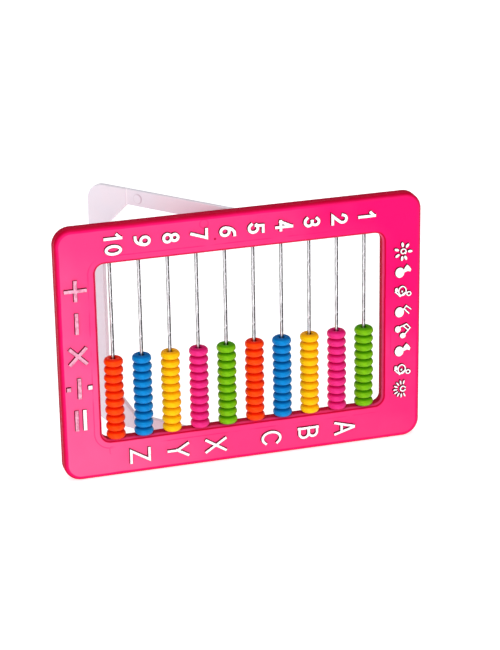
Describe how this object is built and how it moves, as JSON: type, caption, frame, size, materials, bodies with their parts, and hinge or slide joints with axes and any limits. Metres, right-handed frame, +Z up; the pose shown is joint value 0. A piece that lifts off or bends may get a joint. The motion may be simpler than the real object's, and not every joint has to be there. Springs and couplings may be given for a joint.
{
  "type": "abacus",
  "caption": "Child's abacus with coloured ring beads on wires in a moulded rectangular frame, and a U-shaped bail stand hinged on its back",
  "frame": {"origin": "the middle of the frame's lower long edge, which it stands on, half way through its depth", "axes": "+X along the long edge to the end marked with the lowest number, +Y from the face to the back, +Z up along the wires"},
  "size_m": [0.21, 0.0839, 0.148],
  "materials": {
    "front_shell_pink": "glossy, slightly translucent moulded pink plastic with white print on the raised characters",
    "rear_cover_pink": "satin moulded pink plastic",
    "stand_white": "satin moulded white plastic",
    "rod_steel": "bright drawn steel wire",
    "bead_green": "satin moulded plastic",
    "bead_magenta": "satin moulded plastic",
    "bead_yellow": "satin moulded plastic",
    "bead_blue": "satin moulded plastic",
    "bead_orange": "satin moulded plastic"
  },
  "bodies": {
    "frame": {"front_shell": "front_shell_pink", "rear_cover": "rear_cover_pink", "rod_01": "rod_steel", "rod_02": "rod_steel", "rod_03": "rod_steel", "rod_04": "rod_steel", "rod_05": "rod_steel", "rod_06": "rod_steel", "rod_07": "rod_steel", "rod_08": "rod_steel", "rod_09": "rod_steel", "rod_10": "rod_steel"},
    "stand": {"stand": "stand_white"},
    "beads_01_low": {"beads_01_low": "bead_green"},
    "beads_01_middle": {"beads_01_middle": "bead_green"},
    "beads_01_high": {"beads_01_high": "bead_green"},
    "beads_01_top": {"beads_01_top": "bead_green"},
    "beads_02_low": {"beads_02_low": "bead_magenta"},
    "beads_02_middle": {"beads_02_middle": "bead_magenta"},
    "beads_02_high": {"beads_02_high": "bead_magenta"},
    "beads_02_top": {"beads_02_top": "bead_magenta"},
    "beads_03_low": {"beads_03_low": "bead_yellow"},
    "beads_03_middle": {"beads_03_middle": "bead_yellow"},
    "beads_03_high": {"beads_03_high": "bead_yellow"},
    "beads_03_top": {"beads_03_top": "bead_yellow"},
    "beads_04_low": {"beads_04_low": "bead_blue"},
    "beads_04_middle": {"beads_04_middle": "bead_blue"},
    "beads_04_high": {"beads_04_high": "bead_blue"},
    "beads_04_top": {"beads_04_top": "bead_blue"},
    "beads_05_low": {"beads_05_low": "bead_orange"},
    "beads_05_middle": {"beads_05_middle": "bead_orange"},
    "beads_05_high": {"beads_05_high": "bead_orange"},
    "beads_05_top": {"beads_05_top": "bead_orange"},
    "beads_06_low": {"beads_06_low": "bead_green"},
    "beads_06_middle": {"beads_06_middle": "bead_green"},
    "beads_06_high": {"beads_06_high": "bead_green"},
    "beads_06_top": {"beads_06_top": "bead_green"},
    "beads_07_low": {"beads_07_low": "bead_magenta"},
    "beads_07_middle": {"beads_07_middle": "bead_magenta"},
    "beads_07_high": {"beads_07_high": "bead_magenta"},
    "beads_07_top": {"beads_07_top": "bead_magenta"},
    "beads_08_low": {"beads_08_low": "bead_yellow"},
    "beads_08_middle": {"beads_08_middle": "bead_yellow"},
    "beads_08_high": {"beads_08_high": "bead_yellow"},
    "beads_08_top": {"beads_08_top": "bead_yellow"},
    "beads_09_low": {"beads_09_low": "bead_blue"},
    "beads_09_middle": {"beads_09_middle": "bead_blue"},
    "beads_09_high": {"beads_09_high": "bead_blue"},
    "beads_09_top": {"beads_09_top": "bead_blue"},
    "beads_10_low": {"beads_10_low": "bead_orange"},
    "beads_10_middle": {"beads_10_middle": "bead_orange"},
    "beads_10_high": {"beads_10_high": "bead_orange"},
    "beads_10_top": {"beads_10_top": "bead_orange"}
  },
  "joints": [
    {"name": "stand_hinge", "type": "hinge", "parent": "frame", "child": "stand", "pos_m": [-0.0048, 0.0056, 0.074], "axis": [0, 0, 1], "range_deg": [0, 49]},
    {"name": "slide_01_low", "type": "slide", "parent": "frame", "child": "beads_01_low", "axis": [0, 0, 1], "range_m": [0, 0.0138]},
    {"name": "slide_01_middle", "type": "slide", "parent": "beads_01_low", "child": "beads_01_middle", "axis": [0, 0, 1], "range_m": [0, 0.0138]},
    {"name": "slide_01_high", "type": "slide", "parent": "beads_01_middle", "child": "beads_01_high", "axis": [0, 0, 1], "range_m": [0, 0.0138]},
    {"name": "slide_01_top", "type": "slide", "parent": "beads_01_high", "child": "beads_01_top", "axis": [0, 0, 1], "range_m": [0, 0.0138]},
    {"name": "slide_02_low", "type": "slide", "parent": "frame", "child": "beads_02_low", "axis": [0, 0, 1], "range_m": [0, 0.0138]},
    {"name": "slide_02_middle", "type": "slide", "parent": "beads_02_low", "child": "beads_02_middle", "axis": [0, 0, 1], "range_m": [0, 0.0138]},
    {"name": "slide_02_high", "type": "slide", "parent": "beads_02_middle", "child": "beads_02_high", "axis": [0, 0, 1], "range_m": [0, 0.0138]},
    {"name": "slide_02_top", "type": "slide", "parent": "beads_02_high", "child": "beads_02_top", "axis": [0, 0, 1], "range_m": [0, 0.0138]},
    {"name": "slide_03_low", "type": "slide", "parent": "frame", "child": "beads_03_low", "axis": [0, 0, 1], "range_m": [0, 0.0138]},
    {"name": "slide_03_middle", "type": "slide", "parent": "beads_03_low", "child": "beads_03_middle", "axis": [0, 0, 1], "range_m": [0, 0.0138]},
    {"name": "slide_03_high", "type": "slide", "parent": "beads_03_middle", "child": "beads_03_high", "axis": [0, 0, 1], "range_m": [0, 0.0138]},
    {"name": "slide_03_top", "type": "slide", "parent": "beads_03_high", "child": "beads_03_top", "axis": [0, 0, 1], "range_m": [0, 0.0138]},
    {"name": "slide_04_low", "type": "slide", "parent": "frame", "child": "beads_04_low", "axis": [0, 0, 1], "range_m": [0, 0.0138]},
    {"name": "slide_04_middle", "type": "slide", "parent": "beads_04_low", "child": "beads_04_middle", "axis": [0, 0, 1], "range_m": [0, 0.0138]},
    {"name": "slide_04_high", "type": "slide", "parent": "beads_04_middle", "child": "beads_04_high", "axis": [0, 0, 1], "range_m": [0, 0.0138]},
    {"name": "slide_04_top", "type": "slide", "parent": "beads_04_high", "child": "beads_04_top", "axis": [0, 0, 1], "range_m": [0, 0.0138]},
    {"name": "slide_05_low", "type": "slide", "parent": "frame", "child": "beads_05_low", "axis": [0, 0, 1], "range_m": [0, 0.0138]},
    {"name": "slide_05_middle", "type": "slide", "parent": "beads_05_low", "child": "beads_05_middle", "axis": [0, 0, 1], "range_m": [0, 0.0138]},
    {"name": "slide_05_high", "type": "slide", "parent": "beads_05_middle", "child": "beads_05_high", "axis": [0, 0, 1], "range_m": [0, 0.0138]},
    {"name": "slide_05_top", "type": "slide", "parent": "beads_05_high", "child": "beads_05_top", "axis": [0, 0, 1], "range_m": [0, 0.0138]},
    {"name": "slide_06_low", "type": "slide", "parent": "frame", "child": "beads_06_low", "axis": [0, 0, 1], "range_m": [0, 0.0138]},
    {"name": "slide_06_middle", "type": "slide", "parent": "beads_06_low", "child": "beads_06_middle", "axis": [0, 0, 1], "range_m": [0, 0.0138]},
    {"name": "slide_06_high", "type": "slide", "parent": "beads_06_middle", "child": "beads_06_high", "axis": [0, 0, 1], "range_m": [0, 0.0138]},
    {"name": "slide_06_top", "type": "slide", "parent": "beads_06_high", "child": "beads_06_top", "axis": [0, 0, 1], "range_m": [0, 0.0138]},
    {"name": "slide_07_low", "type": "slide", "parent": "frame", "child": "beads_07_low", "axis": [0, 0, 1], "range_m": [0, 0.0138]},
    {"name": "slide_07_middle", "type": "slide", "parent": "beads_07_low", "child": "beads_07_middle", "axis": [0, 0, 1], "range_m": [0, 0.0138]},
    {"name": "slide_07_high", "type": "slide", "parent": "beads_07_middle", "child": "beads_07_high", "axis": [0, 0, 1], "range_m": [0, 0.0138]},
    {"name": "slide_07_top", "type": "slide", "parent": "beads_07_high", "child": "beads_07_top", "axis": [0, 0, 1], "range_m": [0, 0.0138]},
    {"name": "slide_08_low", "type": "slide", "parent": "frame", "child": "beads_08_low", "axis": [0, 0, 1], "range_m": [0, 0.0138]},
    {"name": "slide_08_middle", "type": "slide", "parent": "beads_08_low", "child": "beads_08_middle", "axis": [0, 0, 1], "range_m": [0, 0.0138]},
    {"name": "slide_08_high", "type": "slide", "parent": "beads_08_middle", "child": "beads_08_high", "axis": [0, 0, 1], "range_m": [0, 0.0138]},
    {"name": "slide_08_top", "type": "slide", "parent": "beads_08_high", "child": "beads_08_top", "axis": [0, 0, 1], "range_m": [0, 0.0138]},
    {"name": "slide_09_low", "type": "slide", "parent": "frame", "child": "beads_09_low", "axis": [0, 0, 1], "range_m": [0, 0.0138]},
    {"name": "slide_09_middle", "type": "slide", "parent": "beads_09_low", "child": "beads_09_middle", "axis": [0, 0, 1], "range_m": [0, 0.0138]},
    {"name": "slide_09_high", "type": "slide", "parent": "beads_09_middle", "child": "beads_09_high", "axis": [0, 0, 1], "range_m": [0, 0.0138]},
    {"name": "slide_09_top", "type": "slide", "parent": "beads_09_high", "child": "beads_09_top", "axis": [0, 0, 1], "range_m": [0, 0.0138]},
    {"name": "slide_10_low", "type": "slide", "parent": "frame", "child": "beads_10_low", "axis": [0, 0, 1], "range_m": [0, 0.0138]},
    {"name": "slide_10_middle", "type": "slide", "parent": "beads_10_low", "child": "beads_10_middle", "axis": [0, 0, 1], "range_m": [0, 0.0138]},
    {"name": "slide_10_high", "type": "slide", "parent": "beads_10_middle", "child": "beads_10_high", "axis": [0, 0, 1], "range_m": [0, 0.0138]},
    {"name": "slide_10_top", "type": "slide", "parent": "beads_10_high", "child": "beads_10_top", "axis": [0, 0, 1], "range_m": [0, 0.0138]}
  ]
}
